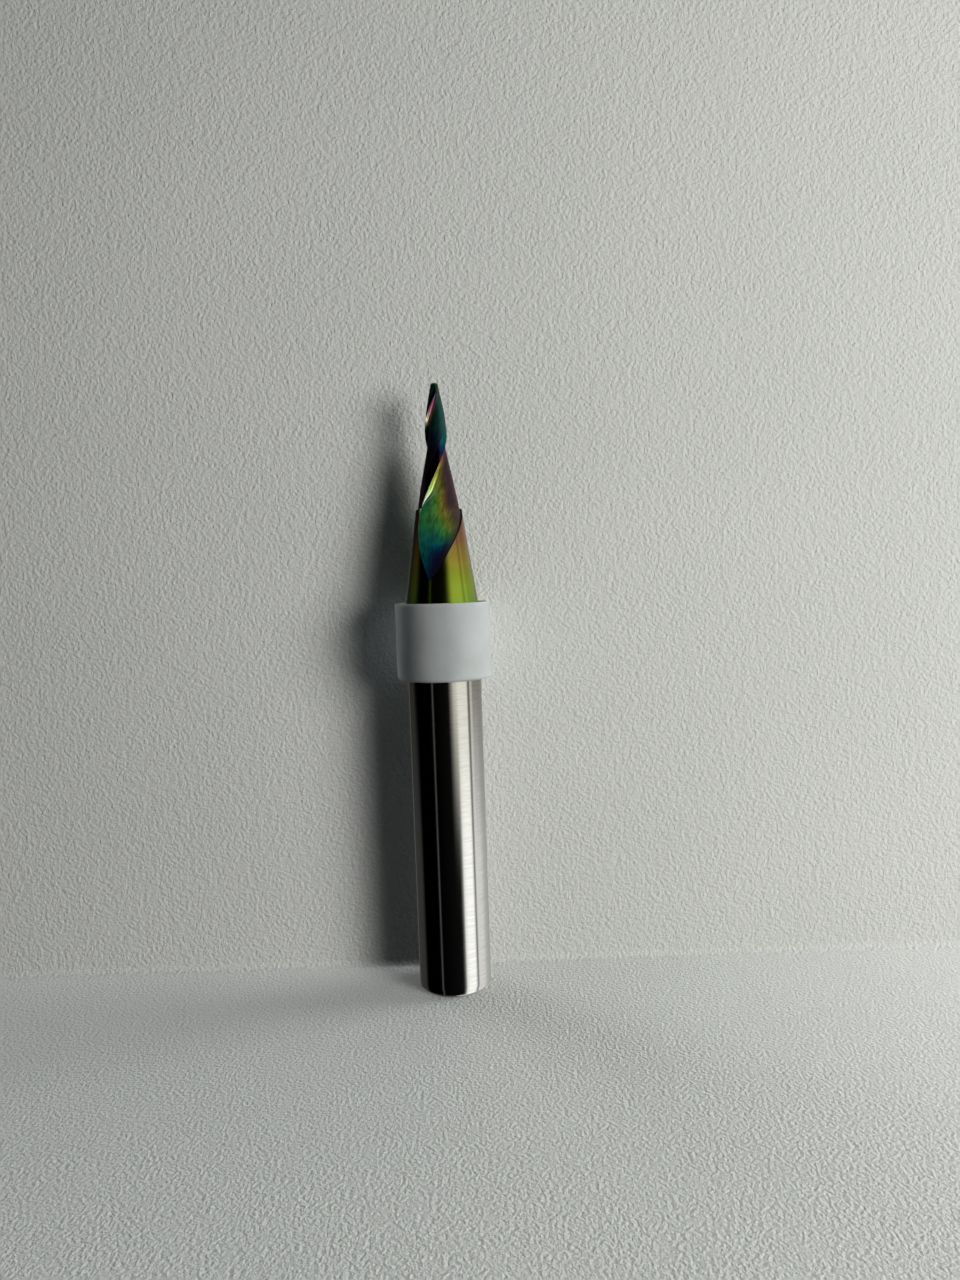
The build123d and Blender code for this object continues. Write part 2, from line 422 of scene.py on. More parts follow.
@dataclass
class Cutter:
    """The ground carbide rod, meshed in rows up the tool and columns round it."""

    law: GrindingLaw
    coating: Coating = field(default_factory=Coating)
    shank_chamfer: float = 0.3
    edge_break: float = 0.025
    rake_columns: int = 12
    gullet_columns: int = 18
    back_columns: int = 30
    land_columns: int = 18
    runout_row_pitch: float = 0.06
    nose_row_twist: float = 2.2
    ball_rows: int = 26
    shank_rows: int = 24
    shank_row_margin: float = 0.5
    cone_row_pitch: float = 0.2
    cone_start_drop: float = 0.002
    nose_row_margin: float = 0.04
    end_face_shares: tuple[float, ...] = (0.0, 0.3, 0.6, 0.8)
    shoulder_shares: tuple[float, ...] = (0.2, 0.4, 0.6, 0.8)
    bevel_shares: tuple[float, float, float] = (0.3, 0.2, 0.4)
    crossing_steps: int = 1600
    crossing_depth: float = 1e-6
    across_samples: int = 9
    foot_across: float = 0.05
    merge_steps_per_mm: float = 1e5
    spread_length: float = 1.6
    coat_start: float = 31.0
    gash_web: float = 0.06
    gash_floor_angle: float = 42.0
    gash_opening_angle: float = 75.0
    gash_length: float = 1.1
    gash_depth: float = 1.0
    gash_edge_drop: float = 0.18

    @property
    def flute_columns(self) -> int:
        """Number of columns across one flute, from its cutting edge to its heel."""
        return self.rake_columns + self.gullet_columns + self.back_columns + 1

    def profile(self) -> np.ndarray:
        """Heights and radii of the turned blank, from the middle of its end face to the tip."""
        return np.array(self._shank_rows() + self._cone_rows() + self._nose_rows(), float)

    def _shank_rows(self) -> list[Pair]:
        """Rows of the end face, its bevel and the shank."""
        chamfer, soft, radius = self.shank_chamfer, self.edge_break, self.law.shank_radius
        rise, start, drop = (soft * share for share in self.bevel_shares)
        rows = [(0, radius * share) for share in self.end_face_shares]
        rows += [(0, radius - chamfer - soft), (rise, radius - chamfer + start)]
        rows += [(chamfer / 2, radius - chamfer / 2)]
        rows += [(chamfer - rise, radius - drop), (chamfer + soft, radius)]
        low = chamfer + self.shank_row_margin
        high = self.law.taper_start - self.cone_row_pitch
        rows += [(z, radius) for z in np.linspace(low, high, self.shank_rows)]
        return rows + [(self.law.taper_start, radius - self.cone_start_drop)]

    def _cone_rows(self) -> list[Pair]:
        """Rows of the plain cone and of the step at the shoulder."""
        law, pitch = self.law, self.cone_row_pitch
        top = law.shoulder_z - self.edge_break
        heights = np.arange(law.taper_start + pitch, law.runout_end_z, pitch)
        heights = np.append(heights, np.arange(law.runout_end_z, top, self.runout_row_pitch))
        rows = [(z, law.body_radius(z)) for z in (*heights, top)]
        drop = self.edge_break * self.bevel_shares[2]
        rows.append((law.shoulder_z, law.cone_top_radius - drop))
        end = law.shoulder_z + law.shoulder_length
        foot = law.nose_radius(end)
        for share in self.shoulder_shares:
            z = law.shoulder_z + law.shoulder_length * share
            rows.append((z, law.cone_top_radius + (foot - law.cone_top_radius) * share))
        return rows + [(end, foot)]

    def _nose_rows(self) -> list[Pair]:
        """Rows of the cutting cone, in even turns of the flutes, and of the ball."""
        law = self.law
        first = law.shoulder_z + law.shoulder_length + self.nose_row_margin
        heights = np.arange(first, law.runout_start_z, self.runout_row_pitch)
        rows = [(z, law.nose_radius(z)) for z in heights]
        winding = math.log(law.start_radius / (law.ball_radius * math.cos(law.half)))
        count = round(law.twist_per_log * winding / self.nose_row_twist)
        for i in range(count):
            r = law.start_radius * math.exp(-winding * i / count)
            rows.append((law.nose_height(r), r))
        for i in range(self.ball_rows):
            turn = law.half + (math.pi / 2 - law.half) * i / self.ball_rows
            z = law.ball_centre_z + law.ball_radius * math.sin(turn)
            rows.append((z, law.ball_radius * math.cos(turn)))
        return rows + [(law.overall_length, 0)]

    def crossings(self, z: float, radius: float) -> tuple[float, float] | None:
        """Places where the flute's floor enters and leaves the blank at height z, if it does."""
        if z < self.law.runout_end_z:
            return None
        place = np.linspace(0, 4, self.crossing_steps + 1)
        depth = self.law.floor(place, z)[1] - radius
        inside = np.flatnonzero(depth < -self.crossing_depth)
        if len(inside) == 0:
            return None
        first, last = inside[0], inside[-1]
        start = place[first]
        if first:
            start -= place[1] * depth[first] / (depth[first] - depth[first - 1])
        end = place[last] + place[1] * depth[last] / (depth[last] - depth[last + 1])
        return start, end

    def flute_places(self, start: float, end: float) -> np.ndarray:
        """Places of one flute's columns, with a column on each joint between its faces."""
        gullet, back = np.clip([1.0, 2.0], start, end)
        return np.concatenate([
            np.linspace(start, gullet, self.rake_columns, endpoint=False),
            np.linspace(gullet, back, self.gullet_columns, endpoint=False),
            np.linspace(back, end, self.back_columns + 1),
        ])

    def half_rows(self, profile: np.ndarray) -> dict[str, np.ndarray]:
        """Lays the columns of half a turn on every row.

        Args:
            profile: Heights and radii of the blank.

        Returns:
            Arrays of rows by columns: bearing, radius, place along the flute, and whether the
            flute reaches the row.
        """
        flute = self.flute_columns
        columns = flute + self.land_columns - 1
        shape = (len(profile), columns)
        bearing, radius, place = np.zeros(shape), np.zeros(shape), np.zeros(shape)
        cut = np.zeros(len(profile), bool)
        for i, (z, r) in enumerate(profile):
            found = self.crossings(z, r)
            if found is None:
                continue
            cut[i] = True
            place[i, :flute] = self.flute_places(*found)
            bearing[i, :flute], radius[i, :flute] = self.law.floor(place[i, :flute], z)
            radius[i, [0, flute - 1]] = r
            land = np.linspace(bearing[i, flute - 1], bearing[i, 0] + 180, self.land_columns + 1)
            bearing[i, flute:] = land[1:-1]
            radius[i, flute:] = r
        first, last = np.flatnonzero(cut)[[0, -1]]
        for i in range(first, -1, -1):
            if not cut[i]:
                drop = (profile[first, 0] - profile[i, 0]) / self.spread_length
                share = eased(min(max(drop, 0), 1))
                middle = bearing[first, :flute].mean()
                even = middle + 180 * (np.arange(columns) - flute / 2) / columns
                bearing[i] = bearing[first] + (even - bearing[first]) * share
                radius[i] = profile[i, 1]
                place[i] = place[first]
        for i in range(last + 1, len(profile)):
            bearing[i] = bearing[last]
            radius[i] = profile[i, 1]
            place[i] = place[last]
        return {"bearing": bearing, "radius": radius, "place": place, "cut": cut}

    def floor_normals(self, place: np.ndarray, z: float) -> np.ndarray:
        """Normals of the flute's floor at one height, pointing out of the carbide."""
        step, rise = 0.004, 0.01
        corners = []
        for shift, lift in ((-step, 0), (step, 0), (0, -rise), (0, rise)):
            bearing, radius = self.law.floor(place + shift, z + lift)
            xy = heading(bearing) * radius[:, None]
            corners.append(np.column_stack([xy, np.full(len(place), z + lift)]))
        normal = np.cross(corners[1] - corners[0], corners[3] - corners[2])
        return normal / np.linalg.norm(normal, axis=1)[:, None]

    def blank_normals(self, profile: np.ndarray) -> np.ndarray:
        """Radial and axial parts of the blank's normal on every row."""
        ahead = np.diff(profile, axis=0)
        side = np.column_stack([ahead[:, 0], -ahead[:, 1]])
        side /= np.linalg.norm(side, axis=1)[:, None]
        out = np.vstack([side[:1], side[:-1] + side[1:], side[-1:]])
        out[0], out[-1] = (0, -1), (0, 1)
        return out / np.linalg.norm(out, axis=1)[:, None]

    def cut_gash(
        self, points: np.ndarray, bearing: float
    ) -> tuple[np.ndarray, np.ndarray, np.ndarray]:
        """Drops what stands in one end gash on to the gash's floor.

        Args:
            points: All points of the mesh.
            bearing: Bearing of the cutting edge that the gash opens.

        Returns:
            The new points, which of them moved, and the normal of the gash's floor.
        """
        along_out = math.sin(math.radians(self.gash_floor_angle))
        along_down = math.cos(math.radians(self.gash_floor_angle))
        side = np.append(heading(bearing + 90), 0.0)
        along = np.append(heading(bearing) * along_out, -along_down)
        wall = np.cross(along, side)
        origin = np.array([0, 0, self.law.overall_length]) + side * self.gash_web / 2
        offset = points - origin
        up, across, run = offset @ wall, offset @ side, offset @ along
        opening = math.radians(self.gash_opening_angle)
        floor_up = across / math.tan(opening)
        inside = (across > 0) & (up > floor_up) & (run < self.gash_length) & (up < self.gash_depth)
        moved = points + np.where(inside, floor_up - up, 0)[:, None] * wall
        normal = wall * math.sin(opening) - side * math.cos(opening)
        return moved, inside, normal

    def build(self) -> bpy.types.Object:
        """Makes the cutter's mesh, its corner normals and the attributes that its coating reads."""
        law, flute = self.law, self.flute_columns
        profile = self.profile()
        half = self.half_rows(profile)
        rows, columns = half["bearing"].shape
        bearing = np.hstack([half["bearing"], half["bearing"] + 180])
        radius = np.tile(half["radius"], 2)
        place = np.tile(half["place"], 2)
        z = np.repeat(profile[:, :1], 2 * columns, axis=1)
        xy = heading(bearing) * radius[..., None]
        points = np.dstack([xy, z]).reshape(-1, 3)

        slope = self.blank_normals(profile)[:, None]
        upward = np.repeat(slope[..., 1:], 2 * columns, axis=1)
        blank = np.dstack([heading(bearing) * slope[..., :1], upward])
        floor = blank.copy()
        for i in np.flatnonzero(half["cut"]):
            normal = self.floor_normals(half["place"][i, :flute], profile[i, 0])
            floor[i, :flute] = normal
            floor[i, columns:columns + flute] = normal * (-1, -1, 1)
        blank, floor = blank.reshape(-1, 3), floor.reshape(-1, 3)

        edge_bearing = law.edge_bearing(law.overall_length - self.gash_edge_drop)
        gashed = np.zeros(len(points), bool)
        for turn in (0, 180):
            points, moved, normal = self.cut_gash(points, edge_bearing + turn)
            blank[moved] = normal
            floor[moved] = normal
            gashed |= moved

        z, place = z.ravel(), place.ravel()
        across = self.across_flute(place)
        film_blank = self.coating.on_blank(z, law.shoulder_z)
        film_flute = self.coating.in_flute(z, across)
        # pale is the share of the painted highlight along each cutting edge.
        pale = self.coating.painted_highlight(z, place, law.section.edge_place)
        # Painted shade on every corner, where 1 is none.
        painted_shade_blank = lookup(self.coating.blank_shade_by_height, z)
        painted_shade_flute = self.coating.painted_shade_in_flute(z, across, place)
        # Under the painted highlight the painted shade is lifted away.
        painted_shade_flute += (1 - painted_shade_flute) * np.clip(pale, 0, 1)

        grid = np.arange(rows * 2 * columns).reshape(rows, 2 * columns)
        key = np.round(points * self.merge_steps_per_mm).astype(np.int64)
        _, first, unique = np.unique(key, axis=0, return_index=True, return_inverse=True)
        unique = unique.ravel()
        lower, upper = grid[:-1], grid[1:]
        quads = np.stack([lower, np.roll(lower, -1, 1), np.roll(upper, -1, 1), upper], axis=-1)
        skins = np.full((rows - 1, 2 * columns), Skin.BLANK.value)
        reach = half["cut"][:-1] | half["cut"][1:]
        for start in (0, columns):
            skins[reach, start:start + flute - 1] = Skin.FLUTE.value
        quads, skins = quads.reshape(-1, 4), skins.ravel()
        skins = np.where(gashed[quads].all(axis=1), Skin.GASH.value, skins)

        faces, normals, films, painted_shades, sources, in_flute = [], [], [], [], [], []
        for quad, skin in zip(quads.tolist(), skins.tolist()):
            ids = [int(unique[q]) for q in quad]
            keep = [k for k in range(4) if ids[k] != ids[k - 1]]
            if len(keep) < 3 or len({ids[k] for k in keep}) < 3:
                continue
            faces.append([ids[k] for k in keep])
            corner = [quad[k] for k in keep]
            on_blank = skin == Skin.BLANK.value
            normals.extend((blank if on_blank else floor)[corner].tolist())
            films.extend((film_blank if on_blank else film_flute)[corner].tolist())
            painted_shades.extend((painted_shade_blank if on_blank else painted_shade_flute)[corner].tolist())
            sources.extend(corner)
            in_flute.extend([0.0 if on_blank else 1.0] * len(corner))
        sources, in_flute = np.array(sources), np.array(in_flute)
        piece = link_mesh("ground_cutter", (points[first] * MM).tolist(), faces)
        piece.data.normals_split_custom_set(normals)
        values = {
            "film": np.array(films),
            # Painted shade, where 1 is none.
            "painted_shade": np.array(painted_shades),
            "across": across[sources],
            "round": bearing.ravel()[sources] / 360,
            "height": z[sources],
            "flute": in_flute,
            # Share of the painted highlight, in the flutes only.
            "pale": pale[sources] * in_flute,
        }
        for name, data in values.items():
            layer = piece.data.attributes.new(name, "FLOAT", "CORNER")
            layer.data.foreach_set("value", data.astype(np.float32))
        return piece

    def across_flute(self, place: np.ndarray) -> np.ndarray:
        """Share of the way from the cutting edge to the heel, by bearing, at these places."""
        section = self.law.section
        known = np.append([section.edge_place, 1.0], np.linspace(2, 3, self.across_samples))
        points = section.points(known)
        share = np.degrees(np.arctan2(points[:, 1], points[:, 0])) / section.heel_bearing
        share[:2] = (0, self.foot_across)
        return np.interp(place, known, share)

    def dress(
        self, piece: bpy.types.Object, shank: bpy.types.Material, nose: bpy.types.Material
    ) -> None:
        """Gives the shank and the nose their materials, which change inside the ring."""
        piece.data.materials.append(shank)
        piece.data.materials.append(nose)
        height = np.zeros(len(piece.data.polygons) * 3, np.float32)
        piece.data.polygons.foreach_get("center", height)
        coated = (height.reshape(-1, 3)[:, 2] > self.coat_start * MM).astype(np.int32)
        piece.data.polygons.foreach_set("material_index", coated)


@dataclass
class DepthRing:
    """The plastic ring pressed on the shank, turned from its section."""

    bottom: float
    top: float
    inner_radius: float
    outer_radius: float
    corner_radius: float = 0.35
    edge_break: float = 0.08
    lead_in: float = 0.2
    lead_in_shares: Pairs = ((0.0, 1.0), (0.08, 0.8), (0.85, 0.1))
    lower_lead_reach: float = 1.05
    upper_lead_reach: float = 1.1
    face_margin: float = 0.05
    wall_margin: float = 0.1
    bore_margin: float = 0.5
    columns: int = 192
    corner_steps: int = 10
    edge_steps: int = 4
    wall_rows: int = 24
    bore_rows: int = 8
    sharp_angle: float = 50.0

    def outline(self) -> list[Pair]:
        """Radii and heights of the ring's section, anticlockwise from its lower bore edge."""
        low, high, bore, outer = self.bottom, self.top, self.inner_radius, self.outer_radius
        corner, edge, lead = self.corner_radius, self.edge_break, self.lead_in
        margin = self.wall_margin
        points = [(bore + lead * out, low + lead * up) for out, up in self.lead_in_shares]
        points.append((bore + lead * self.lower_lead_reach, low))
        points.append((outer - corner - self.face_margin, low))
        for i in range(self.corner_steps + 1):
            turn = math.pi / 2 * i / self.corner_steps
            out, up = corner * math.sin(turn), corner * math.cos(turn)
            points.append((outer - corner + out, low + corner - up))
        heights = np.linspace(low + corner + margin, high - edge - margin, self.wall_rows)
        points += [(outer, z) for z in heights]
        for i in range(self.edge_steps + 1):
            turn = math.pi / 2 * i / self.edge_steps
            out, up = edge * math.cos(turn), edge * math.sin(turn)
            points.append((outer - edge + out, high - edge + up))
        points += [(outer - edge - margin, high), (bore + lead * self.upper_lead_reach, high)]
        points += [(bore + lead * out, high - lead * up) for out, up in self.lead_in_shares[::-1]]
        upper, lower = high - lead - self.bore_margin, low + lead + self.bore_margin
        return points + [(bore, z) for z in np.linspace(upper, lower, self.bore_rows)]

    def build(self) -> bpy.types.Object:
        """Makes the ring's mesh by turning its section once round the tool's axis."""
        outline = self.outline()
        count = len(outline)
        vertices, faces = [], []
        for column in range(self.columns):
            x, y = heading(360 * column / self.columns)
            vertices += [(r * x * MM, r * y * MM, z * MM) for r, z in outline]
            here, there = column * count, (column + 1) % self.columns * count
            for k in range(count):
                above = (k + 1) % count
                faces.append((here + k, there + k, there + above, here + above))
        piece = link_mesh("plastic_ring", vertices, faces)
        piece.data.set_sharp_from_angle(angle=math.radians(self.sharp_angle))
        return piece


@dataclass
class Nodes:
    """Short way to add and join shader nodes in one tree."""

    tree: bpy.types.NodeTree

    def add(self, kind: str, settings: dict | None = None, **inputs: object) -> bpy.types.Node:
        """Adds a node.

        Args:
            kind: The node's Blender type.
            settings: Properties of the node itself.
            **inputs: Sockets by name, with _ for a space, each a value or a socket to join. A
                socket without a name of its own is i and its number.

        Returns:
            The new node.
        """
        node = self.tree.nodes.new(kind)
        for name, value in (settings or {}).items():
            setattr(node, name, value)
        for name, value in inputs.items():
            key = int(name[1:]) if name[1:].isdigit() and name[0] == "i" else name.replace("_", " ")
            self.join(value, node.inputs[key])
        return node

    def join(self, value: object, socket: Socket) -> None:
        """Joins a socket to an input, or sets the input's own value."""
        if isinstance(value, bpy.types.NodeSocket):
            self.tree.links.new(value, socket)
        else:
            socket.default_value = value

    def math(
        self, operation: str, first: object, second: object = 0.0, clamp: bool = False
    ) -> Socket:
        """Adds a Math node and returns its output."""
        settings = {"operation": operation, "use_clamp": clamp}
        return self.add("ShaderNodeMath", settings, i0=first, i1=second).outputs[0]

    def linear(self, value: Socket, factor: object, offset: object) -> Socket:
        """Multiplies a value by a factor and adds an offset."""
        return self.math("ADD", self.math("MULTIPLY", value, factor), offset)

    def centred(self, noise: Socket, factor: float) -> Socket:
        """Turns noise about one half into a change of either sign."""
        return self.math("MULTIPLY", self.math("SUBTRACT", noise, 0.5), factor)

    def mix(self, share: Socket, first: object, second: object) -> Socket:
        """Mixes two colours, each a socket or three numbers, and returns the result."""
        node = self.tree.nodes.new("ShaderNodeMix")
        node.data_type = "RGBA"
        self.join(share, node.inputs[0])
        for number, colour in ((6, first), (7, second)):
            self.join((*colour, 1) if isinstance(colour, tuple) else colour, node.inputs[number])
        return node.outputs[2]

    def ramp(self, share: Socket, stops: ColourStops) -> Socket:
        """Adds a colour ramp with these stops and returns its colour."""
        node = self.tree.nodes.new("ShaderNodeValToRGB")
        band = node.color_ramp
        while len(band.elements) < len(stops):
            band.elements.new(0.5)
        for element, (position, colour) in zip(band.elements, stops):
            element.position = position
            element.color = (*colour, 1)
        self.join(share, node.inputs[0])
        return node.outputs[0]

    def grey_ramp(self, share: Socket, stops: Pairs) -> Socket:
        """Adds a ramp of greys with these stops."""
        return self.ramp(share, tuple((place, (grey, grey, grey)) for place, grey in stops))

    def attribute(self, name: str) -> Socket:
        """Reads one of the mesh's own number attributes."""
        return self.add("ShaderNodeAttribute", {"attribute_name": name}).outputs["Fac"]

    def bump(
        self, shader: bpy.types.Node, height: Socket, strength: float, distance: float
    ) -> None:
        """Gives a shader the normal of a bump of this height, with its distance in millimetres."""
        bump = self.add("ShaderNodeBump", Strength=strength, Distance=distance * MM, Height=height)
        self.join(bump.outputs[0], shader.inputs["Normal"])


def new_group(
    name: str, inputs: dict[str, float], outputs: tuple[str, ...]
) -> tuple[bpy.types.NodeTree, Nodes]:
    """Starts a shader node group of numbers.

    Args:
        name: The group's name.
        inputs: Inputs, each with its usual value.
        outputs: Outputs.

    Returns:
        The group, and the helper that adds nodes to it.
    """
    group = bpy.data.node_groups.new(name, "ShaderNodeTree")
    for key, value in inputs.items():
        socket = group.interface.new_socket(key, in_out="INPUT", socket_type="NodeSocketFloat")
        socket.default_value = value
    for key in outputs:
        group.interface.new_socket(key, in_out="OUTPUT", socket_type="NodeSocketFloat")
    return group, Nodes(group)


@dataclass(frozen=True)
class Grain:
    """Scale, detail and roughness of one layer of noise."""

    scale: float
    detail: float
    roughness: float


class Effects:
    """Shader node groups that more than one material uses, each built once."""

    wheel_grains = {"Marks": Grain(4.0, 3.0, 0.6), "Streaks": Grain(0.9, 2.0, 0.5)}
    patch_roughness = 0.55

    def __init__(self) -> None:
        """Builds the groups."""
        self.grind = self._grind()
        self.mottle = self._mottle()

    def _grind(self) -> bpy.types.NodeTree:
        """Fine parallel scratches that a grinding wheel leaves, drawn out along its travel."""
        inputs = {"Along": 0.0, "Across": 0.0, "Length": 1.0, "Pitch": 30.0}
        group, nodes = new_group("wheel_marks", inputs, tuple(self.wheel_grains))
        given = nodes.add("NodeGroupInput").outputs
        result = nodes.add("NodeGroupOutput").inputs
        along = nodes.math("MULTIPLY", given["Along"], given["Length"])
        across = nodes.math("MULTIPLY", given["Across"], given["Pitch"])
        place = nodes.add("ShaderNodeCombineXYZ", X=along, Y=across).outputs[0]
        for name, grain in self.wheel_grains.items():
            noise = nodes.add(
                "ShaderNodeTexNoise", Vector=place, Scale=grain.scale, Detail=grain.detail,
                Roughness=grain.roughness,
            )
            nodes.join(noise.outputs["Fac"], result[name])
        return group

    def _mottle(self) -> bpy.types.NodeTree:
        """Soft uneven patches, by place on the object in millimetres."""
        group, nodes = new_group("mottle", {"Size": 1.0, "Detail": 2.0}, ("Patches",))
        given = nodes.add("NodeGroupInput").outputs
        result = nodes.add("NodeGroupOutput").inputs
        place = nodes.add("ShaderNodeTexCoord").outputs["Object"]
        scale = nodes.math("DIVIDE", 1 / MM, given["Size"])
        noise = nodes.add(
            "ShaderNodeTexNoise", Vector=place, Scale=scale, Detail=given["Detail"],
            Roughness=self.patch_roughness,
        )
        nodes.join(noise.outputs["Fac"], result["Patches"])
        return group

    def marks(
        self, nodes: Nodes, along: Socket | float, across: Socket, length: float, pitch: float
    ) -> bpy.types.bpy_prop_collection:
        """Places the wheel marks in a material.

        Args:
            nodes: The material's nodes.
            along: Place along the wheel's travel.
            across: Place across it.
            length: How often the marks change along the travel.
            pitch: How often they change across it.

        Returns:
            The outputs Marks, which are fine, and Streaks, which are broad.
        """
        inputs = {"Along": along, "Across": across, "Length": length, "Pitch": pitch}
        return nodes.add("ShaderNodeGroup", {"node_tree": self.grind}, **inputs).outputs

    def patches(self, nodes: Nodes, size: float, detail: float) -> Socket:
        """Places the uneven patches in a material, with their size in millimetres."""
        inputs = {"Size": size, "Detail": detail}
        return nodes.add("ShaderNodeGroup", {"node_tree": self.mottle}, **inputs).outputs[0]


def new_material(name: str) -> tuple[bpy.types.Material, Nodes, bpy.types.Node]:
    """Starts a material and returns it, its node helper and its Principled shader."""
    material = bpy.data.materials.new(name)
    material.use_nodes = True
    nodes = Nodes(material.node_tree)
    return material, nodes, material.node_tree.nodes["Principled BSDF"]


@dataclass(frozen=True)
class PolishedCarbide:
    """The bare shank: centreless ground and polished, with very fine marks round it."""

    colour: Colour = (0.67, 0.67, 0.65)
    dark: Colour = (0.49, 0.485, 0.465)
    roughness: float = 0.085
    roughness_drop: float = 0.04
    roughness_spread: float = 0.09
    marks_length: float = 14.0
    marks_pitch: float = 9.0
    marks_strength: float = 0.06
    marks_height: float = 0.02
    patch_size: float = 2.2
    patch_detail: float = 4.0
    anisotropy: float = 0.35

    def build(self, effects: Effects) -> bpy.types.Material:
        """Makes the material from the shared effects."""
        material, nodes, shader = new_material("polished_carbide")
        around, height = nodes.attribute("round"), nodes.attribute("height")
        marks = effects.marks(nodes, around, height, self.marks_length, self.marks_pitch)
        patches = effects.patches(nodes, self.patch_size, self.patch_detail)
        colour = nodes.mix(marks["Streaks"], self.dark, self.colour)
        nodes.join(colour, shader.inputs["Base Color"])
        least = self.roughness - self.roughness_drop
        rough = nodes.linear(patches, self.roughness_spread, least)
        nodes.join(rough, shader.inputs["Roughness"])
        nodes.bump(shader, marks["Marks"], self.marks_strength, self.marks_height)
        shader.inputs["Metallic"].default_value = 1.0
        shader.inputs["Anisotropic"].default_value = self.anisotropy
        return material


@dataclass(frozen=True)
class RainbowCoating:
    """The hard coating on the ground nose, whose colour follows its thickness."""

    # The material lays painted shade and a painted highlight over the film colours.
    roughness: float = 0.17
    roughness_drop: float = 0.06
    roughness_spread: float = 0.12
    flute_roughness: float = 0.50
    rake_roughness: float = 0.20
    flute_metallic: float = 0.55
    colours: ColourStops = (
        (0.00, (0.38, 0.27, 0.06)),
        (0.07, (0.40, 0.18, 0.09)),
        (0.15, (0.20, 0.07, 0.05)),
        (0.22, (0.27, 0.05, 0.12)),
        (0.31, (0.07, 0.02, 0.13)),
        (0.40, (0.015, 0.02, 0.14)),
        (0.48, (0.006, 0.11, 0.22)),
        (0.56, (0.012, 0.27, 0.24)),
        (0.66, (0.06, 0.38, 0.11)),
        (0.76, (0.17, 0.40, 0.06)),
        (0.84, (0.30, 0.37, 0.035)),
        (0.92, (0.42, 0.37, 0.05)),
        (1.00, (0.38, 0.27, 0.06)),
    )
    # Colour of the painted shade.
    dark: Colour = (0.004, 0.004, 0.006)
    # Painted highlight along the cutting edges, by height: near white with the coating's hues.
    painted_highlight: ColourStops = (
        (40.5, (0.86, 1.0, 0.92)),
        (41.2, (0.82, 1.0, 0.55)),
        (41.9, (0.78, 0.92, 0.22)),
        (42.9, (0.50, 0.48, 0.12)),
        (46.6, (1.0, 0.95, 0.50)),
        (47.3, (1.0, 0.80, 0.72)),
        (48.0, (1.0, 0.22, 0.50)),
        (48.8, (0.35, 0.12, 0.30)),
    )
    highlight_low: float = 39.0
    highlight_high: float = 50.0
    drift: float = 0.10
    streaks: float = 0.12
    scratches: float = 3.2
    marks_length: float = 0.35
    marks_pitch: float = 3.2
    marks_strength: float = 0.10
    marks_height: float = 0.02
    patch_size: float = 2.6
    patch_detail: float = 1.0

    def build(self, effects: Effects) -> bpy.types.Material:
        """Makes the material from the shared effects."""
        material, nodes, shader = new_material("rainbow_coating")
        height, across = nodes.attribute("height"), nodes.attribute("across")
        flute, pale = nodes.attribute("flute"), nodes.attribute("pale")
        marks = effects.marks(nodes, height, across, self.marks_length, self.marks_pitch)
        patches = effects.patches(nodes, self.patch_size, self.patch_detail)

        drift = nodes.centred(patches, self.drift)
        streak = nodes.centred(marks["Streaks"], self.streaks)
        film = nodes.math("ADD", nodes.attribute("film"), nodes.math("ADD", drift, streak))
        colour = nodes.ramp(nodes.math("FRACT", film), self.colours)
        scratched = nodes.linear(nodes.centred(marks["Marks"], self.scratches), flute, 1.0)
        # Painted shade from the mesh, made uneven in the flutes by grinding scratches, darkens the
        # film.
        painted_shade = nodes.math("MULTIPLY", nodes.attribute("painted_shade"), scratched)
        colour = nodes.mix(painted_shade, self.dark, colour)
        # The painted highlight is mixed over the film colour along the cutting edges.
        nodes.join(nodes.mix(pale, colour, self._highlight_colour(nodes, height)), shader.inputs["Base Color"])

        in_flute = nodes.math("MULTIPLY", flute, self.flute_roughness - self.roughness)
        on_rake = nodes.math("MULTIPLY", pale, self.rake_roughness - self.flute_roughness)
        change = nodes.math("ADD", in_flute, on_rake)
        rough = nodes.linear(marks["Marks"], self.roughness_spread, change)
        rough = nodes.math("ADD", rough, self.roughness - self.roughness_drop)
        nodes.join(rough, shader.inputs["Roughness"])
        nodes.bump(shader, marks["Marks"], self.marks_strength, self.marks_height)
        coated = nodes.math("MULTIPLY", flute, nodes.math("SUBTRACT", 1.0, pale))
        nodes.join(nodes.linear(coated, self.flute_metallic - 1.0, 1.0), shader.inputs["Metallic"])
        return material

    def _highlight_colour(self, nodes: Nodes, height: Socket) -> Socket:
        """Colour of the painted highlight along the cutting edge, by its height on the tool."""
        span = self.highlight_high - self.highlight_low
        up = nodes.math("DIVIDE", nodes.math("SUBTRACT", height, self.highlight_low), span)
        return nodes.ramp(up, tuple(((z - self.highlight_low) / span, c) for z, c in self.painted_highlight))


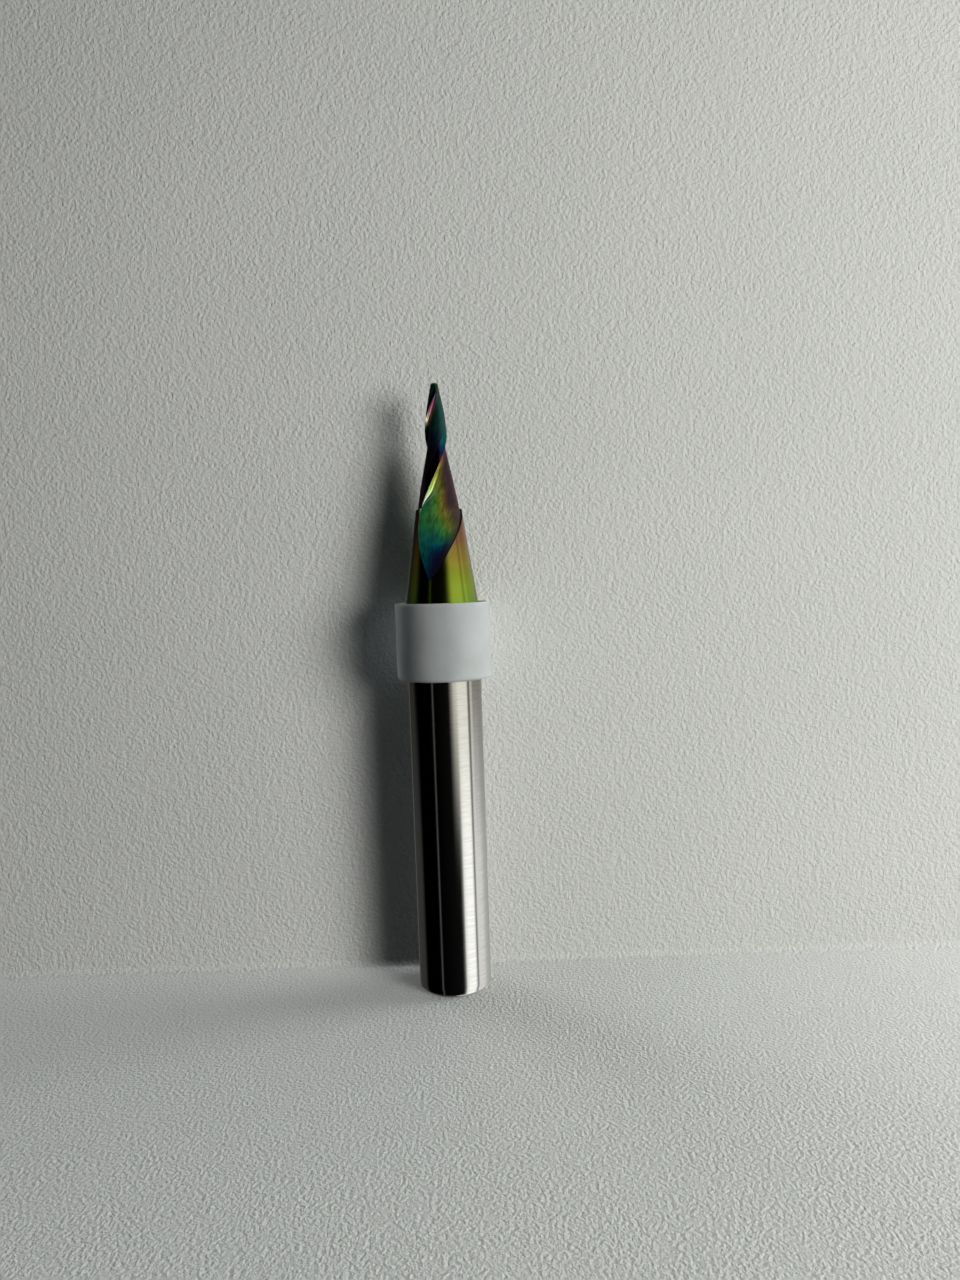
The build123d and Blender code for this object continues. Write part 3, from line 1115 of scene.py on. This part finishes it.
@dataclass(frozen=True)
class MilkyPlastic:
    """The ring's satin, slightly translucent white plastic."""

    # Milky white held down to grey: painted shade for the dark shank seen through the plastic.
    colour: Colour = (0.46, 0.49, 0.495)
    shade: Colour = (0.35, 0.37, 0.37)
    roughness: float = 0.34
    roughness_drop: float = 0.07
    roughness_spread: float = 0.14
    marks_pitch: float = 2.4
    marks_strength: float = 0.12
    marks_height: float = 0.03
    patch_size: float = 1.8
    patch_detail: float = 3.0
    depth_weight: float = 0.75
    depth_by_colour: Colour = (1.0, 0.95, 0.85)
    depth: float = 1.1

    def build(self, effects: Effects) -> bpy.types.Material:
        """Makes the material from the shared effects."""
        material, nodes, shader = new_material("milky_plastic")
        place = nodes.add("ShaderNodeTexCoord").outputs["Object"]
        height = nodes.add("ShaderNodeSeparateXYZ", Vector=place).outputs["Z"]
        height = nodes.math("DIVIDE", height, MM)
        marks = effects.marks(nodes, 0.0, height, 0.0, self.marks_pitch)
        patches = effects.patches(nodes, self.patch_size, self.patch_detail)
        nodes.join(nodes.mix(patches, self.shade, self.colour), shader.inputs["Base Color"])
        least = self.roughness - self.roughness_drop
        rough = nodes.linear(patches, self.roughness_spread, least)
        nodes.join(rough, shader.inputs["Roughness"])
        nodes.bump(shader, marks["Marks"], self.marks_strength, self.marks_height)
        shader.inputs["Subsurface Weight"].default_value = self.depth_weight
        shader.inputs["Subsurface Radius"].default_value = self.depth_by_colour
        shader.inputs["Subsurface Scale"].default_value = self.depth * MM
        return material


@dataclass(frozen=True)
class PaleSheet:
    """Pale sheet with a fine orange-peel grain, seen only from its front.

    Its level part is lifted a little for the camera, as painted light that grows towards +X, where
    the key lamp stands, and fades to one plain level far from the tool. For the light that it
    throws back on the tool it is dark.
    """

    colour: Colour = (0.74, 0.755, 0.73)
    shade: Colour = (0.66, 0.68, 0.66)
    thrown_back: Colour = (0.10, 0.10, 0.10)
    far_colour: Colour = (0.02, 0.02, 0.02)
    lift_colour: Colour = (1.0, 1.0, 0.98)
    roughness: float = 0.48
    specular: float = 0.4
    grain_size: float = 0.26
    grain_detail: float = 2.5
    grain_height: float = 0.17
    patch_size: float = 30.0
    patch_detail: float = 2.0
    level_power: float = 3.0
    lift: float = -0.03
    lift_slope: float = 0.003
    lift_least: float = 0.008
    lift_most: float = 0.12
    far_level: float = 0.55
    near: float = 54.0
    fade: float = 1.4

    def build(self, effects: Effects) -> bpy.types.Material:
        """Makes the material from the shared effects."""
        material, nodes, shader = new_material("pale_sheet")
        surface = nodes.add("ShaderNodeNewGeometry").outputs
        upward = nodes.add("ShaderNodeSeparateXYZ", Vector=surface["True Normal"]).outputs["Z"]
        level = nodes.math("POWER", upward, self.level_power)
        seen = nodes.add("ShaderNodeLightPath").outputs["Is Camera Ray"]
        place = nodes.add("ShaderNodeTexCoord").outputs["Object"]
        far = nodes.math("MULTIPLY", self._reach(nodes, place), level)

        # Painted light: a glow for the camera that grows towards the key lamp's side.
        amount = self._lift(nodes, place)
        rest = nodes.math("MULTIPLY", nodes.math("SUBTRACT", self.far_level, amount), far)
        shown = nodes.math("MULTIPLY", level, seen)
        lift = nodes.math("MULTIPLY", shown, nodes.math("ADD", amount, rest))
        nodes.join(lift, shader.inputs["Emission Strength"])
        nodes.join((*self.lift_colour, 1), shader.inputs["Emission Color"])

        patches = effects.patches(nodes, self.patch_size, self.patch_detail)
        hidden = nodes.math("MULTIPLY", upward, nodes.math("SUBTRACT", 1.0, seen))
        colour = nodes.mix(hidden, nodes.mix(patches, self.shade, self.colour), self.thrown_back)
        nodes.join(nodes.mix(far, colour, self.far_colour), shader.inputs["Base Color"])
        shader.inputs["Roughness"].default_value = self.roughness
        shader.inputs["Specular IOR Level"].default_value = self.specular
        grain = effects.patches(nodes, self.grain_size, self.grain_detail)
        nodes.bump(shader, grain, 1.0, self.grain_height)

        front, clear = shader.outputs[0], nodes.add("ShaderNodeBsdfTransparent").outputs[0]
        mixed = nodes.add("ShaderNodeMixShader", i0=surface["Backfacing"], i1=front, i2=clear)
        nodes.join(mixed.outputs[0], material.node_tree.nodes["Material Output"].inputs["Surface"])
        return material

    def _reach(self, nodes: Nodes, place: Socket) -> Socket:
        """Share of the far look, which grows with the distance from the tool."""
        reach = nodes.add("ShaderNodeVectorMath", {"operation": "LENGTH"}, i0=place)
        reach = nodes.math("DIVIDE", reach.outputs["Value"], self.near * MM)
        return nodes.math("MULTIPLY", nodes.math("SUBTRACT", reach, 1.0), self.fade, clamp=True)

    def _lift(self, nodes: Nodes, place: Socket) -> Socket:
        """How much painted light lifts the level part near the tool, by its place towards +X."""
        side = nodes.add("ShaderNodeSeparateXYZ", Vector=place).outputs["X"]
        amount = nodes.linear(side, self.lift_slope / MM, self.lift)
        amount = nodes.math("MINIMUM", amount, self.lift_most)
        return nodes.math("MAXIMUM", amount, self.lift_least)


@dataclass(frozen=True)
class Lamp:
    """Soft square lamp that faces the tool and shows in no view or reflection.

    Its turn is about its own axis, and softens the ends of a shadow.
    """

    name: str
    place: tuple[float, float, float]
    size: float
    power: float
    colour: Colour
    turn: float = 0.0

    def build(self, target: Vector) -> None:
        """Adds the lamp, facing the target."""
        data = bpy.data.lights.new(self.name, "AREA")
        data.shape = "RECTANGLE"
        data.size = data.size_y = self.size * MM
        data.energy = self.power
        data.color = self.colour
        piece = link(self.name, data)
        piece.location = Vector(self.place) * MM
        facing = (target - piece.location).to_track_quat("-Z", "Y").to_matrix()
        turned = Matrix.Rotation(math.radians(self.turn), 3, "Z")
        piece.rotation_euler = (facing @ turned).to_euler()
        piece.visible_glossy = False
        piece.visible_camera = False


@dataclass(frozen=True)
class Room:
    """World: a dim even fill, a pale ground for the camera, and a room for metal to reflect.

    Each band is the room's brightness by bearing, at one height. Bearing 0 is the photograph's
    side of the tool, and bearings grow towards +X. All bands share their first and last stops.
    """

    first_stops: Pairs = ((-180, 0.09), (-160, 0.07))
    last_stop: Pair = (180, 0.20)
    low: Pairs = (
        (-150, 0.03), (-110, 0.03), (-96, 0.0), (-41, 0.0), (-40, 0.08), (-38, 0.08), (-37, 0.0),
        (30, 0.004), (36, 0.15), (42, 0.85), (52, 1.0), (71, 1.0), (76, 0.65), (78, 0.2),
        (83, 0.2), (86, 0.68), (110, 0.62), (130, 0.40),
    )
    level: Pairs = (
        (-150, 0.01), (-134, 0.02), (-120, 0.02), (-108, 0.0), (-41, 0.0), (-40, 0.08),
        (-38, 0.08), (-37, 0.0), (12, 0.004), (20, 0.22), (28, 0.56), (40, 0.68), (73, 0.64),
        (76, 0.1), (83, 0.1), (86, 0.48), (92, 0.42), (97, 0.16), (140, 0.18),
    )
    high: Pairs = (
        (-150, 0.01), (-130, 0.015), (-118, 0.035), (-98, 0.045), (-86, 0.01), (-78, 0.0),
        (-39, 0.0), (-38, 0.08), (-36, 0.08), (-35, 0.0), (18, 0.004), (28, 0.22), (36, 0.54),
        (73, 0.60), (76, 0.34), (83, 0.34), (86, 0.6), (92, 0.6), (97, 0.42), (140, 0.46),
    )
    low_tint: Colour = (1.0, 1.0, 0.98)
    level_tint: Colour = (1.0, 0.97, 0.86)
    high_tint: Colour = (1.0, 0.98, 0.93)
    low_to_level: Pairs = ((0.35, 0), (0.45, 1))
    level_to_high: Pairs = ((0.51, 0), (0.57, 1))
    overhead: Pairs = ((0.0, 0), (0.70, 0), (0.95, 0.6))
    overhead_colour: Colour = (0.16, 0.17, 0.17)
    room_strength: float = 1.6
    fill_colour: Colour = (0.70, 0.86, 1.0)
    fill_strength: float = 0.038
    ground_colour: Colour = (0.56, 0.58, 0.56)

    def build(self) -> None:
        """Makes the world and gives it to the scene."""
        world = bpy.data.worlds.new("room")
        bpy.context.scene.world = world
        world.use_nodes = True
        nodes = Nodes(world.node_tree)
        fill = self._light(nodes, (*self.fill_colour, 1), self.fill_strength)
        room = self._light(nodes, self._walls(nodes), self.room_strength)
        ground = self._light(nodes, (*self.ground_colour, 1), 1.0)
        path = nodes.add("ShaderNodeLightPath").outputs
        lit = nodes.add("ShaderNodeMixShader", i0=path["Is Glossy Ray"], i1=fill, i2=room)
        lit = lit.outputs[0]
        shown = nodes.add("ShaderNodeMixShader", i0=path["Is Camera Ray"], i1=lit, i2=ground)
        nodes.join(shown.outputs[0], world.node_tree.nodes["World Output"].inputs["Surface"])

    def _light(self, nodes: Nodes, colour: object, strength: float) -> Socket:
        """Adds a background of this colour and strength."""
        return nodes.add("ShaderNodeBackground", Color=colour, Strength=strength).outputs[0]

    def _walls(self, nodes: Nodes) -> Socket:
        """Colour of the room that metal reflects, by direction."""
        toward = nodes.add("ShaderNodeTexCoord").outputs["Generated"]
        parts = nodes.add("ShaderNodeSeparateXYZ", Vector=toward).outputs
        ahead = nodes.math("MULTIPLY", parts["Y"], -1.0)
        turn = nodes.math("ARCTAN2", parts["X"], ahead)
        bearing = self._about_half(nodes, turn, 0.5 / math.pi)
        rise = self._about_half(nodes, parts["Z"], 0.5)
        low = self._band(nodes, bearing, self.low, self.low_tint)
        level = self._band(nodes, bearing, self.level, self.level_tint)
        high = self._band(nodes, bearing, self.high, self.high_tint)
        wall = nodes.mix(nodes.grey_ramp(rise, self.low_to_level), low, level)
        wall = nodes.mix(nodes.grey_ramp(rise, self.level_to_high), wall, high)
        above = nodes.grey_ramp(parts["Z"], self.overhead)
        return nodes.mix(above, wall, self.overhead_colour)

    def _about_half(self, nodes: Nodes, value: Socket, factor: float) -> Socket:
        """Scales a value of either sign into a share from 0 to 1."""
        share = nodes.math("MULTIPLY_ADD", value, factor)
        share.node.inputs[2].default_value = 0.5
        return share

    def _band(self, nodes: Nodes, bearing: Socket, stops: Pairs, tint: Colour) -> Socket:
        """Adds one band of the room, in its tint."""
        stops = (*self.first_stops, *stops, self.last_stop)
        colours = (((a + 180) / 360, tuple(v * t for t in tint)) for a, v in stops)
        return nodes.ramp(bearing, tuple(colours))


@dataclass
class Studio:
    """The camera at the photograph's angle, the pale floor and backdrop, the lamps and the room."""

    tool_length: float
    ring_radius: float
    photo_height: int = 1280
    focal_pixels: float = 900.0
    camera_side: float = 3.02
    camera_distance: float = 74.11
    camera_height: float = 34.22
    camera_pitch: float = 4.0
    camera_roll: float = 1.93
    sensor: float = 36.0
    nearest_seen: float = 1.0
    farthest_seen: float = 10000.0
    backdrop_gap: float = 0.15
    stage_half_width: float = 900.0
    stage_height: float = 1200.0
    cove_radius: float = 0.6
    cove_steps: int = 8
    lamps: tuple[Lamp, ...] = (
        Lamp("key", (174, -165, 50), 104, 0.56, (1.0, 0.985, 0.95), 45),
        Lamp("side", (280, 60, 70), 120, 0.50, (0.95, 0.98, 1.0)),
        Lamp("back", (-230, 230, 90), 160, 0.45, (0.95, 0.98, 1.0)),
    )

    def camera(self) -> None:
        """Places the camera and makes it the scene's."""
        data = bpy.data.cameras.new("camera")
        data.sensor_width = self.sensor
        data.sensor_fit = "AUTO"
        data.lens = self.sensor * self.focal_pixels / self.photo_height
        data.clip_start = self.nearest_seen * MM
        data.clip_end = self.farthest_seen * MM
        piece = link("camera", data)
        tilt = Matrix.Rotation(math.radians(90 - self.camera_pitch), 4, "X")
        roll = Matrix.Rotation(math.radians(-self.camera_roll), 4, "Z")
        place = Vector((self.camera_side, -self.camera_distance, self.camera_height)) * MM
        piece.matrix_world = Matrix.Translation(place) @ tilt @ roll
        bpy.context.scene.camera = piece

    def stage(self, effects: Effects) -> None:
        """Makes the floor and backdrop as one sheet, and the floor behind them."""
        half, cove = self.stage_half_width, self.cove_radius
        back = self.ring_radius + self.backdrop_gap
        line = [(-half, 0.0), (back - cove, 0.0)]
        for i in range(1, self.cove_steps + 1):
            turn = math.pi / 2 * i / self.cove_steps
            line.append((back - cove + cove * math.sin(turn), cove - cove * math.cos(turn)))
        line.append((back, self.stage_height))
        vertices = [(x * MM, y * MM, z * MM) for y, z in line for x in (-half, half)]
        faces = [(2 * i, 2 * i + 1, 2 * i + 3, 2 * i + 2) for i in range(len(line) - 1)]
        faces.append((2, 3, len(vertices) + 1, len(vertices)))
        vertices += [(x * MM, half * MM, 0) for x in (-half, half)]
        sheet = link_mesh("sheet", vertices, faces)
        sheet.data.materials.append(PaleSheet().build(effects))
        sheet.visible_glossy = False
        sheet.visible_shadow = False

    def build(self, effects: Effects) -> None:
        """Sets up everything round the tool."""
        self.camera()
        self.stage(effects)
        Room().build()
        for lamp in self.lamps:
            lamp.build(Vector((0, 0, self.tool_length / 2)) * MM)
        bpy.context.scene.view_settings.view_transform = "Standard"


def main() -> None:
    """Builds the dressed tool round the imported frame."""
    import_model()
    mill_low, mill_high = (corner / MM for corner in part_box("end_mill"))
    ring_low, ring_high = (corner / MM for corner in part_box("depth_ring"))
    effects = Effects()

    law = GrindingLaw(overall_length=mill_high.z - mill_low.z, shank_radius=mill_high.x)
    cutter = Cutter(law)
    mill = cutter.build()
    cutter.dress(mill, PolishedCarbide().build(effects), RainbowCoating().build(effects))
    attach(mill, "root")
    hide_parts("end_mill")
    LOG.info("ground_cutter: %d faces", len(mill.data.polygons))

    ring = DepthRing(ring_low.z, ring_high.z, law.shank_radius, ring_high.x).build()
    ring.data.materials.append(MilkyPlastic().build(effects))
    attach(ring, "root")
    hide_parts("depth_ring")
    LOG.info("plastic_ring: %d faces", len(ring.data.polygons))

    Studio(law.overall_length, ring_high.x).build(effects)


if __name__ == "__main__":
    logging.basicConfig(level=logging.INFO, format="%(name)s: %(message)s")
    main()
